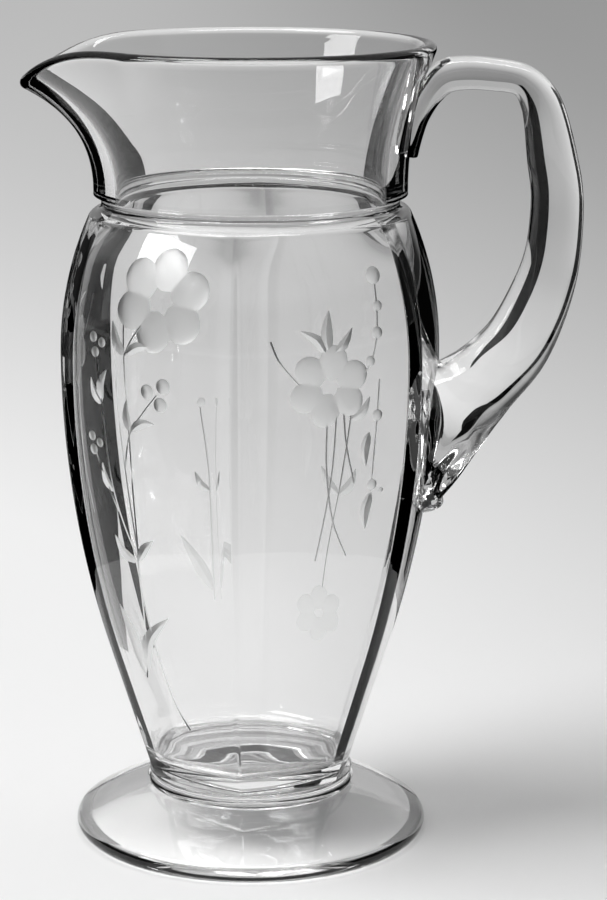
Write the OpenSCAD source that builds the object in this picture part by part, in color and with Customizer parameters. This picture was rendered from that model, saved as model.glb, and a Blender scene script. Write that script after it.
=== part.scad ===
// Footed glass cocktail pitcher with a six-panelled bowl.
// Millimetres, +Z up. The origin is the middle of the plane that the foot stands on,
// the handle points to +X and the pouring lip to -X.

/* [Foot] */
// Diameter of the foot
foot_d = 106.5; // [96:0.5:125]
// Thickness of the foot at its rounded edge
foot_edge_t = 6; // [4:0.5:8]
// Height of the foot up to the wafer
foot_h = 14.8; // [12:0.2:22]
// Width of the flat ring that the foot stands on
foot_ring_w = 4; // [2:0.5:8]
// Thickness of the foot at its middle, above the hollow that it stands over
foot_mid_t = 3.3; // [2.3:0.1:8]

/* [Wafer] */
// Diameter of the wafer between foot and bowl
wafer_d = 62; // [56:1:68]
// Height of the wafer
wafer_h = 4.5; // [3:0.5:8]
// Depth of the hollow rolled into the edge of the wafer
wafer_waist = 0.8; // [0.3:0.1:1.4]
// Width of the foot's seat that shows around the wafer
wafer_seat = 0.5; // [0:0.1:2]

/* [Bowl] */
// Height of the bowl from the wafer to the joint at the neck
bowl_h = 173; // [150:1:200]
// Width over two opposite panels at the base of the bowl
bowl_base_w = 58.5; // [54:0.5:70]
// Width over two opposite panels at the belly
belly_w = 111.5; // [102:0.5:125]
// Height of the belly above the base of the bowl
belly_h = 129.5; // [115:0.5:140]
// Height above the base of the bowl up to which its sides run straight
taper_h = 39.5; // [20:0.5:60]
// Width over two opposite panels at the shoulder
shoulder_w = 91; // [84:1:98]
// How far the centre of each panel's curve lies behind the axis, so that panels are flatter than the round
panel_setback = 35; // [20:1:60]
// How far the flattened ridges stand out beyond the panels
ridge_h = 2.35; // [1:0.05:3]
// Wall thickness of the bowl
bowl_wall = 5; // [3.5:0.25:7]
// Thickness of the bottom of the bowl
bowl_floor_t = 5; // [3:0.5:12]
// Radius inside the bowl where its wall meets its bottom
floor_fillet = 6; // [2:0.5:12]

/* [Neck] */
// Depth of the groove between bowl and collar
groove_depth = 1.8; // [0.8:0.1:2.4]
// Height of each flank of the groove
groove_h = 2.5; // [1.5:0.1:4]
// How far the round neck narrows within the panels of the bowl
throat_step = 0.5; // [0.2:0.1:1.5]

/* [Collar] */
// Height of the collar from the joint at the neck to the rim
collar_h = 46.5; // [36:0.5:60]
// Outer diameter of the collar at its lower edge
collar_d = 92; // [86:1:98]
// Outer diameter of the rim
rim_d = 107.6; // [100:0.2:120]
// Thickness of the rounded rim
rim_t = 3.8; // [2.6:0.2:5]
// How far the pouring lip reaches beyond the rim
lip_reach = 13.6; // [6:0.2:20]
// How far the tip of the lip dips below the rim
lip_drop = 10.5; // [4:0.5:15]
// Angle to each side of the tip over which the lip is pulled out
lip_angle = 52; // [35:1:70]

/* [Handle] */
// Furthest reach of the handle from the axis
handle_reach = 97.3; // [88:0.1:112]
// How far the top of the handle lies below the rim
handle_drop = 3.5; // [1:0.5:8]
// Thickness of the rod along the top of the handle
rod_top_t = 9.4; // [7:0.2:12]
// Thickness of the rod where the hand holds it
rod_t = 15.4; // [11:0.2:18]
// Width of the rod along the top of the handle
rod_top_w = 13; // [9:0.5:16]
// Width of the rod where the hand holds it
rod_w = 15.5; // [11:0.5:20]
// Length of the tail that is pressed on the collar
tail_l = 24; // [16:0.5:28]
// Thickness of the tail at its end
tail_t = 6; // [4:0.2:8]
// Height of the middle of the pad above the base of the bowl
pad_up = 105.5; // [90:0.5:120]
// Length of the pad that is pressed on the bowl
pad_l = 46.5; // [36:0.5:52]
// Width of the pad
pad_w = 25; // [18:0.5:32]

/* [Hidden] */
$fn = 180;

glass = [0.86, 0.88, 0.88, 0.55];
panels = 6;

// Levels of the joints
wafer_z = foot_h;
bowl_z = wafer_z + wafer_h;
belly_z = bowl_z + belly_h;
neck_z = bowl_z + bowl_h;
rim_z = neck_z + collar_h;

function between(a, b, t) = a + (b - a) * t;
edge_tries = 12;

// Foot: a dome that runs from the seat of the wafer into the round edge
edge_r = foot_edge_t / 2;
edge_x = foot_d / 2 - edge_r;
seat_r = wafer_d / 2 + wafer_seat;
seat_rise = foot_h - edge_r;
dome_k = seat_r * seat_r + foot_h * foot_h - edge_x * edge_x;
dome_a = 4 * (seat_rise * seat_rise - edge_r * edge_r);
dome_b = 8 * edge_r * edge_r * foot_h - 4 * dome_k * seat_rise;
dome_c = dome_k * dome_k - 4 * edge_r * edge_r * (seat_r * seat_r + foot_h * foot_h);
dome_z = -(dome_b + sqrt(dome_b * dome_b - 4 * dome_a * dome_c)) / (2 * dome_a);
dome_r = norm([seat_r, foot_h - dome_z]);
dome_end_x = edge_x * dome_r / (dome_r - edge_r);
foot_hollow = foot_h - foot_mid_t;
hollow_x = edge_x - foot_ring_w;
hollow_r = (hollow_x * hollow_x + foot_hollow * foot_hollow) / (2 * foot_hollow);
waist_r = (wafer_h * wafer_h / 4 + wafer_waist * wafer_waist) / (2 * wafer_waist);

// Bowl: a straight taper and one arc up to the belly, and a tighter arc above it
belly_a = belly_w / 2;
upper_h = bowl_h - belly_h;
function arc_radius(rise, bulge) = (rise * rise + bulge * bulge) / (2 * bulge);
upper_r = arc_radius(upper_h, belly_a - shoulder_w / 2);
// The lower arc runs into the straight taper, so its end slopes as the taper does
arc_h = belly_h - taper_h;
taper_z = bowl_z + taper_h;
function half_slope(t, tries) = tries < 1 ? t
    : half_slope((belly_a - bowl_base_w / 2) / (arc_h + 2 * taper_h / (1 - t * t)), tries - 1);
taper_slope = 2 * atan(half_slope(0, edge_tries));
lower_r = arc_h / sin(taper_slope);
function arc_x(r, z) = belly_a - r + sqrt(r * r - pow(z - belly_z, 2));
function panel_x(z) = z > belly_z ? arc_x(upper_r, z)
    : z > taper_z ? arc_x(lower_r, z)
    : arc_x(lower_r, taper_z) - (taper_z - z) * tan(taper_slope);
// Distance from the axis of a panel at an angle from its middle
function panel_r(x, turn) =
    sqrt(pow(x + panel_setback, 2) - pow(panel_setback * sin(turn), 2)) - panel_setback * cos(turn);
function outside_r(z, turn) = min(panel_r(panel_x(z), turn), panel_x(z) + ridge_h);
function inside_r(z, turn) = panel_r(panel_x(z) - bowl_wall, turn);
bore_r = shoulder_w / 2 - bowl_wall - throat_step;
groove_r = shoulder_w / 2 - groove_depth;
// Level at which the lower flank of the groove meets the outside, and the throat meets the inside
flank = groove_depth / groove_h;
function flank_z(turn, z, tries) =
    tries < 1 ? z : flank_z(turn, neck_z - (outside_r(z, turn) - groove_r) / flank, tries - 1);
function throat_z(turn, z, tries) =
    tries < 1 ? z : throat_z(turn, neck_z - (inside_r(z, turn) - bore_r), tries - 1);
floor_z = bowl_z + bowl_floor_t;
outside_steps = 16;
inside_steps = 14;
fillet_steps = 4;
// Angles from the middle of a panel, closer together towards the ridge
half_panel = [0, 7, 14, 20, 24.5, 27.2];
panel_turns = concat([for (i = [len(half_panel) - 1 : -1 : 1]) -half_panel[i]], half_panel, [180 / panels]);
bowl_turns = [for (i = [0 : panels - 1], t = panel_turns) [360 * i / panels + t, t]];
// Outline of the bowl at one angle, from its base outside to the middle of its floor
function bowl_outline(turn) =
    let (top = flank_z(turn, neck_z, edge_tries), throat = throat_z(turn, neck_z, edge_tries),
        low = floor_z + floor_fillet, low_r = inside_r(low, turn) - floor_fillet)
    concat(
        [for (i = [0 : outside_steps])
            let (z = between(bowl_z, top, i / outside_steps)) [outside_r(z, turn), z]],
        [[groove_r, neck_z], [bore_r, neck_z]],
        [for (i = [0 : inside_steps])
            let (z = between(throat, low, i / inside_steps)) [inside_r(z, turn), z]],
        [for (i = [1 : fillet_steps])
            let (a = 90 * i / fillet_steps) [low_r + floor_fillet * cos(a), low - floor_fillet * sin(a)]]);

// Collar: a flare with its wall measured square to it, pulled out and down at the lip
collar_z = neck_z + groove_h;
flare_h = rim_z - rim_t / 2 - collar_z;
collar_t = collar_d / 2 - bore_r;
foot_mid = collar_d / 2 - collar_t / 2;
rim_mid = rim_d / 2 - rim_t / 2;
lip_curve = 2.1;
drop_curve = 2;
drop_focus = 2;
collar_steps = 10;
rim_steps = 6;
collar_sides = 72;
function pull(turn) = abs(turn) < lip_angle ? pow(cos(90 * turn / lip_angle), 2) : 0;
function dip(p) = lip_drop * pow(p, drop_focus);
function flare_r(u, p) = foot_mid + (rim_mid - foot_mid) * u * u + p * lip_reach * pow(u, lip_curve);
function flare_z(u, p) = collar_z + flare_h * u - dip(p) * pow(u, drop_curve);
function slope_r(u, p) = 2 * (rim_mid - foot_mid) * u + p * lip_reach * lip_curve * pow(u, lip_curve - 1);
function slope_z(u, p) = flare_h - dip(p) * drop_curve * pow(u, drop_curve - 1);
function along(u, p) = let (s = [slope_r(u, p), slope_z(u, p)]) s / norm(s);
function wall_t(u) = collar_t + (rim_t - collar_t) * u;
// A point of the wall at height u: a turn of 0 is outside, 90 the top of the rim and 180 inside
function wall_point(u, p, turn) =
    let (a = along(u, p))
    [flare_r(u, p), flare_z(u, p)] + wall_t(u) / 2 * (cos(turn) * [a[1], -a[0]] + sin(turn) * a);
function collar_outline(p) = concat(
    [[groove_r, neck_z]],
    [for (i = [0 : collar_steps]) wall_point(i / collar_steps, p, 0)],
    [for (i = [1 : rim_steps - 1]) wall_point(1, p, 180 * i / rim_steps)],
    [for (i = [collar_steps : -1 : 0]) wall_point(i / collar_steps, p, 180)],
    [[bore_r, neck_z]]);

// Handle: stations along the rod, each with its distance out, its way down and its section
bar_z = rim_z - handle_drop - rod_top_t / 2;
pad_z = bowl_z + pad_up;
run_x = handle_reach - rod_t / 2;
function collar_u(z) = (z - collar_z) / flare_h;
function collar_x(z) = let (u = collar_u(z)) flare_r(u, 0) + wall_t(u) / 2 * along(u, 0)[1];
// Tail on the collar: share of its length still to go, and how far its middle lies off the collar
tail_run = [[1, -0.6], [0.78, -0.3], [0.51, 0.3], [0.24, 2.2]];
// Bar, grip and pad: share of the way out from the wall, and share of the way down to the pad
grip_run = [
    [0.135, 0.010], [0.31, 0], [0.54, 0], [0.74, 0.011], [0.88, 0.052], [0.946, 0.133], [0.989, 0.256],
    [1, 0.351], [0.975, 0.494], [0.895, 0.625], [0.71, 0.763], [0.38, 0.858], [0.115, 0.933],
    [-0.125, 0.956], [-0.31, 0.965]];
function rod_thickness(down) = lookup(down, [
    [0, rod_top_t], [0.052, 1.15 * rod_top_t], [0.256, 0.92 * rod_t], [0.494, rod_t], [0.625, rod_t],
    [0.763, 1.16 * rod_t], [0.858, 0.5 * pad_l], [0.933, 0.69 * pad_l], [0.956, 1.16 * pad_l]]);
function rod_width(down) = lookup(down, [[0, rod_top_w], [0.35, rod_w], [0.7, rod_w], [0.95, pad_w]]);
stations = concat(
    [for (s = tail_run) let (z = bar_z - s[0] * tail_l)
        [collar_x(z) + s[1], z, between(rod_top_t, tail_t, s[0]), rod_top_w]],
    [for (s = grip_run) let (wall = s[1] < 0.5 ? collar_x(bar_z) : panel_x(pad_z))
        [between(wall, run_x, s[0]), between(bar_z, pad_z, s[1]), rod_thickness(s[1]), rod_width(s[1])]]);
last = len(stations) - 1;
rod_steps = 3;
rod_sides = 24;
squareness = 2.6;
function station(i) = stations[max(0, min(last, i))];
// Smooth curve through the stations
function smooth(i, t) =
    let (a = station(i - 1), b = station(i), c = station(i + 1), d = station(i + 2))
    (2 * b + (c - a) * t + (2 * a - 5 * b + 4 * c - d) * t * t + (3 * b - a - 3 * c + d) * t * t * t) / 2;
rod_rings = concat(
    [for (i = [0 : last - 1], k = [0 : rod_steps - 1]) smooth(i, k / rod_steps)],
    [station(last)]);
rings = len(rod_rings);
function heading(k) =
    let (d = rod_rings[min(rings - 1, k + 1)] - rod_rings[max(0, k - 1)]) [d[0], d[1]] / norm([d[0], d[1]]);
function rounded(c) = sign(c) * pow(abs(c), 2 / squareness);
function rod_ring(k) =
    let (r = rod_rings[k], h = heading(k))
    [for (j = [0 : rod_sides - 1])
        let (a = 360 * j / rod_sides, n = r[2] / 2 * rounded(cos(a)))
        [r[0] - h[1] * n, r[3] / 2 * rounded(sin(a)), r[1] + h[0] * n]];

// Faces of rings of points, rows by columns, where a closed tube joins its last ring to its first
function ring_faces(rows, columns, closed) =
    [for (i = [0 : rows - (closed ? 1 : 2)], j = [0 : columns - 1])
        let (a = i * columns, b = ((i + 1) % rows) * columns, k = (j + 1) % columns)
        each [[a + j, b + j, b + k], [a + j, b + k, a + k]]];
// The same with a flat end on the first and the last ring
function tube_faces(rows, columns) = concat(
    ring_faces(rows, columns, false),
    [[for (j = [0 : columns - 1]) j]],
    [[for (j = [columns - 1 : -1 : 0]) (rows - 1) * columns + j]]);

// One panel's curve, turned about an axis behind the bowl's own, for the seat of the handle
module panel_body() {
    translate([-panel_setback, 0, 0]) rotate_extrude() {
        intersection() {
            translate([belly_a - lower_r + panel_setback, belly_z]) circle(lower_r);
            translate([0, taper_z]) square([belly_w + panel_setback, arc_h]);
        }
        intersection() {
            translate([belly_a - upper_r + panel_setback, belly_z]) circle(upper_r);
            translate([0, belly_z]) square([belly_w + panel_setback, upper_h]);
        }
    }
}

module foot() {
    color(glass) rotate_extrude() difference() {
        union() {
            intersection() {
                translate([0, dome_z]) circle(dome_r);
                translate([0, edge_r]) square([dome_end_x, foot_h - edge_r]);
            }
            translate([edge_x, edge_r]) circle(edge_r);
            square([edge_x, edge_r]);
        }
        translate([0, foot_hollow - hollow_r]) circle(hollow_r);
        translate([-foot_d, -foot_d]) square([foot_d, 2 * foot_d]);
    }
}

module wafer() {
    color(glass) translate([0, 0, wafer_z]) rotate_extrude() difference() {
        square([wafer_d / 2, wafer_h]);
        translate([wafer_d / 2 - wafer_waist + waist_r, wafer_h / 2]) circle(waist_r);
    }
}

module bowl() {
    outlines = [for (t = bowl_turns) bowl_outline(t[1])];
    rows = len(outlines[0]);
    columns = len(bowl_turns);
    color(glass) polyhedron(
        [for (i = [0 : rows - 1], j = [0 : columns - 1])
            let (q = outlines[j][i], a = bowl_turns[j][0]) [q[0] * cos(a), q[0] * sin(a), q[1]]],
        tube_faces(rows, columns));
}

module collar() {
    rows = len(collar_outline(0));
    color(glass) polyhedron(
        [for (i = [0 : rows - 1], j = [0 : collar_sides - 1])
            let (a = 360 * j / collar_sides, q = collar_outline(pull(a - 180))[i])
            [q[0] * cos(a), q[0] * sin(a), q[1]]],
        ring_faces(rows, collar_sides, true));
}

// Outside of the collar away from the lip, for the seat of the handle
module collar_body() {
    rotate_extrude() polygon(concat(
        [[0, collar_z]],
        [for (i = [0 : collar_steps]) wall_point(i / collar_steps, 0, 0)],
        [[rim_mid, rim_z], [0, rim_z]]));
}

module handle() {
    color(glass) difference() {
        polyhedron([for (k = [0 : rings - 1]) each rod_ring(k)], tube_faces(rings, rod_sides));
        panel_body();
        collar_body();
    }
}

foot();
wafer();
bowl();
collar();
handle();
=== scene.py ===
# %% [markdown]
# # A footed cocktail pitcher in clear glass
# Five pieces of hot glass were joined to make this pitcher: a foot, a wafer, a bowl blown into a
# six-sided mould, a flared collar with a pulled lip, and a handle pressed on at two places.
# The lesson models each piece as closed glass, fuses the joints so that light passes them as it
# does in one lump of glass, cuts flowers into the bowl with small grinding wheels, and lights the
# whole as a glass photographer does, bright behind and dark at both sides.

# %% Load the frame
import math

import bmesh
import bpy
from mathutils import Matrix, Vector


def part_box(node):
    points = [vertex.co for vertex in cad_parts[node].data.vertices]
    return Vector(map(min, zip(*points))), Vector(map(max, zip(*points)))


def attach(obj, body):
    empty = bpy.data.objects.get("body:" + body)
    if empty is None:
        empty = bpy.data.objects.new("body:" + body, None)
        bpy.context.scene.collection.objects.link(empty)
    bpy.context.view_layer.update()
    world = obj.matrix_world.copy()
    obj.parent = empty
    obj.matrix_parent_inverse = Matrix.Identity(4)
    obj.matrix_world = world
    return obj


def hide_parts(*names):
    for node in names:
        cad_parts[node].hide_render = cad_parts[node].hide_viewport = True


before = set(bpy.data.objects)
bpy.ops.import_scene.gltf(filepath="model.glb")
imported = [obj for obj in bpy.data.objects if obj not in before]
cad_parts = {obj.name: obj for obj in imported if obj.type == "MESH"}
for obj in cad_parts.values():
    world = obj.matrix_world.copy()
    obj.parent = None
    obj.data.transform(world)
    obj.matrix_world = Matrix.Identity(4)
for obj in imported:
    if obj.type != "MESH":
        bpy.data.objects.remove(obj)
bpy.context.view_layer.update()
print("nodes:", sorted(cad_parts))

# %% [markdown]
# ## Sizes
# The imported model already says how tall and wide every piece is, so those sizes are read from it
# and nothing can drift. Lengths below are in millimetres, as a glassmaker writes them, and each
# finished mesh is brought to metres in one place.

# %% Read the sizes
MM = 0.001


def corners(node):
    """Lowest and highest corner of a node, in millimetres."""
    low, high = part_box(node)
    return Vector(low) / MM, Vector(high) / MM


foot_r = corners("foot")[1].x
foot_h = corners("foot")[1].z
wafer_r = corners("wafer")[1].x
bowl_z = corners("bowl")[0].z
neck_z = corners("bowl")[1].z
belly_a = corners("bowl")[1].x
rim_z = corners("collar")[1].z
rim_r = corners("collar")[1].x
print(f"foot {foot_r:.1f} x {foot_h:.1f}, bowl {bowl_z:.1f} to {neck_z:.1f}, rim {rim_z:.1f}")

# %% [markdown]
# ## Small helpers for every material
# A colour is written as the sRGB hex value that a colour picker shows, and one function turns it
# into the linear light that Blender calculates with. Another function adds a node, sets it and
# links it, and three more give the outcome of a sum, of a dot product and of a map from one span to
# another, so that a material reads as a short list.

# %% Colour and nodes


def linear(colour):
    """sRGB hex to the linear RGBA of a colour socket."""
    shares = [int(colour[i:i + 2], 16) / 255 for i in (1, 3, 5)]
    return [c / 12.92 if c <= 0.04045 else ((c + 0.055) / 1.055) ** 2.4 for c in shares] + [1.0]


def add_node(tree, kind, sockets=None, **settings):
    """Adds a node with its settings, and fills its sockets with values or links."""
    node = tree.nodes.new(kind)
    for name, value in settings.items():
        setattr(node, name, value)
    for name, value in (sockets or {}).items():
        if isinstance(value, bpy.types.NodeSocket):
            tree.links.new(value, node.inputs[name])
        else:
            node.inputs[name].default_value = value
    return node


def calculated(tree, operation, *values):
    node = add_node(tree, "ShaderNodeMath", dict(enumerate(values)), operation=operation)
    return node.outputs[0]


def dot(tree, one, other):
    node = add_node(tree, "ShaderNodeVectorMath", {0: one, 1: other}, operation="DOT_PRODUCT")
    return node.outputs["Value"]


def mapped(tree, value, span, tones, kind="LINEAR"):
    """Maps a span of a value to a span of tones, and keeps the end tones beyond it."""
    node = add_node(tree, "ShaderNodeMapRange", {
        "Value": value, "From Min": span[0], "From Max": span[1],
        "To Min": tones[0], "To Max": tones[1]}, interpolation_type=kind)
    return node.outputs["Result"]


def new_material(name):
    material = bpy.data.materials.new(name)
    material.use_nodes = True
    material.node_tree.nodes.clear()
    return material, material.node_tree


print("white is", [round(c, 3) for c in linear("#FFFFFF")])

# %% [markdown]
# ## Clear glass
# Soda-lime glass is nearly colourless, bends light by 1.52, and has a skin that the fire polished.
# A perfect skin looks like plastic, because blown glass keeps a faint ripple from the mould and the
# tools. Noise with waves a few centimetres long gives that ripple as a very shallow bump.

# %% Clear glass
RIPPLE_WAVE = 0.028
RIPPLE_DEPTH = 0.00005


def make_glass(name, colour, roughness, wave, depth, detail, strength):
    """Soda-lime glass whose skin carries noise of a wave length and a depth."""
    material, tree = new_material(name)
    place = add_node(tree, "ShaderNodeTexCoord").outputs["Object"]
    noise = add_node(tree, "ShaderNodeTexNoise", {"Vector": place, "Scale": 1 / wave, "Detail": detail})
    skin = add_node(tree, "ShaderNodeBump",
                    {"Height": noise.outputs["Fac"], "Strength": strength, "Distance": depth})
    glass = add_node(tree, "ShaderNodeBsdfPrincipled", {
        "Base Color": linear(colour), "Roughness": roughness, "IOR": 1.52,
        "Transmission Weight": 1.0, "Normal": skin.outputs["Normal"]})
    add_node(tree, "ShaderNodeOutputMaterial", {"Surface": glass.outputs["BSDF"]})
    return material


clear_glass = make_glass("clear_soda_lime_glass", "#FBFBFB", roughness=0.0,
                         wave=RIPPLE_WAVE, depth=RIPPLE_DEPTH, detail=1.5, strength=1.0)
print(clear_glass.name)

# %% [markdown]
# ## Fused joints
# Where two hot pieces are pressed together the glass runs into one, and no surface is left for
# light to bounce from. The pieces stay separate meshes here, so the two faces that meet take a
# material that lets every ray straight through. A ray then enters at one piece's skin and leaves at
# the other's, as in the real joint.

# %% Fused joints


def make_fused_joint():
    """The inside of a joint, where two pieces of hot glass became one."""
    material, tree = new_material("fused_glass_joint")
    through = add_node(tree, "ShaderNodeBsdfTransparent")
    add_node(tree, "ShaderNodeOutputMaterial", {"Surface": through.outputs["BSDF"]})
    return material


fused_joint = make_fused_joint()
print(fused_joint.name)

# %% [markdown]
# ## Wheel-cut satin
# The flowers are ground into the glass with small copper and stone wheels and left unpolished.
# Each cut is a matt, slightly milky hollow: light still passes, but is scattered on the way. A
# medium roughness does that, and a fine noise bump stands for the grit of the wheel.

# %% Wheel-cut satin
GRIT = 0.0004
GRIT_DEPTH = 0.00002

cut_satin = make_glass("wheel_cut_satin_glass", "#F1F2F1", roughness=0.28,
                       wave=GRIT, depth=GRIT_DEPTH, detail=2.0, strength=0.6)
MATERIALS = [clear_glass, fused_joint, cut_satin]
GLASS, JOINT, SATIN = range(len(MATERIALS))
print(cut_satin.name)

# %% [markdown]
# ## Turning an outline on the axis
# Every piece but the handle starts as a line of points that is spun about the upright axis, much as
# the glassmaker turns it on the iron. The spin gives clean rings and columns of faces. A shape that
# isn't round afterwards, such as a panel or a lip, is pressed into those rings by moving each vertex
# to where its point of the outline lies at that turn.

# %% Spin, shape and finish
COLUMNS = 168
FLAT = 1e-3


def arc(centre, radius, start, end, steps):
    """Points of a round stretch from one angle to another, in degrees."""
    turns = [math.radians(start + (end - start) * i / steps) for i in range(steps + 1)]
    return [(centre[0] + radius * math.cos(a), centre[1] + radius * math.sin(a)) for a in turns]


def spun(stations, place, closed=False):
    """Spins the outline place(station, 0) and moves every vertex to place(station, turn)."""
    bm = bmesh.new()
    mark = bm.verts.layers.int.new("station")
    line = []
    for number, station in enumerate(stations):
        line.append(bm.verts.new(place(station, 0.0)))
        line[-1][mark] = number
    pairs = zip(line, line[1:] + line[:1]) if closed else zip(line, line[1:])
    edges = [bm.edges.new(pair) for pair in pairs]
    bmesh.ops.spin(bm, geom=line + edges, cent=(0, 0, 0), axis=(0, 0, 1), angle=math.tau,
                   steps=COLUMNS, use_merge=True)
    for vert in bm.verts:
        turn = math.degrees(math.atan2(vert.co.y, vert.co.x))
        vert.co = place(stations[vert[mark]], turn)
    bmesh.ops.remove_doubles(bm, verts=bm.verts, dist=FLAT)
    bmesh.ops.recalc_face_normals(bm, faces=bm.faces)
    return bm


def at(radius, height, turn):
    """The point at a radius, height and turn about the axis."""
    a = math.radians(turn)
    return Vector((radius * math.cos(a), radius * math.sin(a), height))


def turned(point, turn):
    return at(point[0], point[1], turn)


def mark_joint(bm, height, radius):
    """Gives the level faces at a height, within a radius, the fused joint."""
    count = 0
    for face in bm.faces:
        level = all(abs(vert.co.z - height) < FLAT for vert in face.verts)
        if level and max(vert.co.xy.length for vert in face.verts) < radius:
            face.material_index = JOINT
            count += 1
    return count


def new_object(bm, name):
    """Turns a millimetre bmesh into an object in metres."""
    bmesh.ops.scale(bm, vec=(MM, MM, MM), verts=bm.verts)
    mesh = bpy.data.meshes.new(name)
    bm.to_mesh(mesh)
    bm.free()
    for material in MATERIALS:
        mesh.materials.append(material)
    thing = bpy.data.objects.new(name, mesh)
    bpy.context.scene.collection.objects.link(thing)
    return thing


CRISP = math.radians(33)
CUT_CRISP = math.radians(14)


def finish_piece(piece, node):
    """Smooths the skin up to its crisp edges, and puts the piece in the place of its node."""
    bm = bmesh.new()
    bm.from_mesh(piece.data)
    for face in bm.faces:
        face.smooth = True
    for edge in bm.edges:
        sides = {face.material_index for face in edge.link_faces}
        limit = CUT_CRISP if sides == {SATIN} else CRISP
        edge.smooth = len(sides) == 1 and edge.calc_face_angle(0.0) < limit
    bm.to_mesh(piece.data)
    open_edges = sum(not edge.is_manifold for edge in bm.edges)
    bm.free()
    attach(piece, "root")
    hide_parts(node)
    print(f"{piece.name}: {len(piece.data.polygons)} faces, {open_edges} open edges")


def cut_away(piece, cutter):
    """Cuts one object out of another. The cut faces keep the cutter's material."""
    step = piece.modifiers.new("cut", "BOOLEAN")
    step.operation = "DIFFERENCE"
    step.solver = "MANIFOLD"
    step.material_mode = "TRANSFER"
    step.object = cutter
    graph = bpy.context.evaluated_depsgraph_get()
    mesh = bpy.data.meshes.new_from_object(piece.evaluated_get(graph))
    piece.modifiers.clear()
    piece.data = mesh
    bpy.data.objects.remove(cutter)


# %% [markdown]
# ## The foot
# The foot is a shallow dome of thick glass with a round edge, hollow underneath so that it stands on
# a narrow ring. A circle for the edge and a larger circle that touches it give the dome without a
# kink, so the outline is three arcs and two flats. The ring rests on the paper, so it takes the
# material of the joints as well: with a clear skin there, the edge of the foot would be a dark mirror.

# %% Foot
FOOT_EDGE = 3.0
FOOT_RING = 4.0
FOOT_MIDDLE = 3.3
WAFER_SEAT = 0.5
WAFER_ROUND = 0.4
DOME_STEPS = 20
EDGE_STEPS = 20
HOLLOW_STEPS = 16

edge_x = foot_r - FOOT_EDGE
seat_r = wafer_r + WAFER_SEAT
rise = foot_h - FOOT_EDGE
span = seat_r ** 2 + foot_h ** 2 - edge_x ** 2
dome_a = 4 * (rise ** 2 - FOOT_EDGE ** 2)
dome_b = 8 * FOOT_EDGE ** 2 * foot_h - 4 * span * rise
dome_c = span ** 2 - 4 * FOOT_EDGE ** 2 * (seat_r ** 2 + foot_h ** 2)
dome_z = -(dome_b + math.sqrt(dome_b ** 2 - 4 * dome_a * dome_c)) / (2 * dome_a)
dome_r = math.hypot(seat_r, foot_h - dome_z)
dome_top = math.degrees(math.atan2(foot_h - dome_z, seat_r))
dome_end = math.degrees(math.atan2(FOOT_EDGE - dome_z, edge_x))
hollow = foot_h - FOOT_MIDDLE
hollow_x = edge_x - FOOT_RING
hollow_r = (hollow_x ** 2 + hollow ** 2) / (2 * hollow)
hollow_end = math.degrees(math.asin(hollow_x / hollow_r))

joint_r = wafer_r - WAFER_ROUND
foot_outline = [(0, foot_h), (joint_r, foot_h)]
foot_outline += arc((0, dome_z), dome_r, dome_top, dome_end, DOME_STEPS)
foot_outline += arc((edge_x, FOOT_EDGE), FOOT_EDGE, dome_end, -90, EDGE_STEPS)[1:]
foot_outline += arc((0, hollow - hollow_r), hollow_r, 90 - hollow_end, 90, HOLLOW_STEPS)
foot_mesh = spun(foot_outline, turned)
print("joint faces:", mark_joint(foot_mesh, foot_h, joint_r + FLAT))
print("faces of the ring:", mark_joint(foot_mesh, 0.0, foot_r))
foot = new_object(foot_mesh, "foot_glass")
finish_piece(foot, "foot")

# %% [markdown]
# ## The bowl's panels
# The mould has six panels. Each panel is a piece of a larger circle whose centre lies behind the
# axis, so it is flatter than the round, and the ridge between two panels is ground to a narrow
# strip. Up the side, a straight taper runs into one long arc to the belly and a tighter arc above.
# These few rules give every point of the bowl, outside and inside.

# %% Rules of the bowl
PANEL = 60.0
SETBACK = 35.0
RIDGE = 2.35
WALL = 5.0
BASE_A = 29.25
SHOULDER_A = 45.5
BELLY_H = 129.5
TAPER_H = 39.5
FLOOR_T = 5.0
FILLET = 6.0
GROOVE_DEPTH = 1.8
GROOVE_H = 2.5
THROAT_STEP = 0.5
BASE_ROUND = 0.7
SHOULDER_ROUND = 1.3
SHOULDER_IN = 0.8
RUN_OUT = 14.0
THROAT_PROUD = 0.7
SETTLING = 12

belly_z = bowl_z + BELLY_H
taper_z = bowl_z + TAPER_H
arc_h = BELLY_H - TAPER_H
half_slope = 0.0
for _ in range(SETTLING):
    half_slope = (belly_a - BASE_A) / (arc_h + 2 * TAPER_H / (1 - half_slope ** 2))
taper = 2 * math.atan(half_slope)
lower_r = arc_h / math.sin(taper)
upper_rise = neck_z - belly_z
upper_drop = belly_a - SHOULDER_A
upper_r = (upper_rise ** 2 + upper_drop ** 2) / (2 * upper_drop)
bore_r = SHOULDER_A - WALL - THROAT_STEP
groove_r = SHOULDER_A - GROOVE_DEPTH
floor_z = bowl_z + FLOOR_T
flank_z = neck_z - GROOVE_H


def mix(a, b, share):
    return a + (b - a) * share


def arc_x(radius, z):
    return belly_a - radius + math.sqrt(radius ** 2 - (z - belly_z) ** 2)


def panel_x(z):
    """Distance of a panel's middle from the axis at a height."""
    if z > belly_z:
        return arc_x(upper_r, z)
    if z > taper_z:
        return arc_x(lower_r, z)
    return arc_x(lower_r, taper_z) - (taper_z - z) * math.tan(taper)


def panel_r(x, turn):
    """Distance of a panel from the axis at a turn from its middle."""
    a = math.radians(turn)
    return math.sqrt((x + SETBACK) ** 2 - (SETBACK * math.sin(a)) ** 2) - SETBACK * math.cos(a)


def outside_r(z, turn):
    return min(panel_r(panel_x(z), turn), panel_x(z) + RIDGE)


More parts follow.
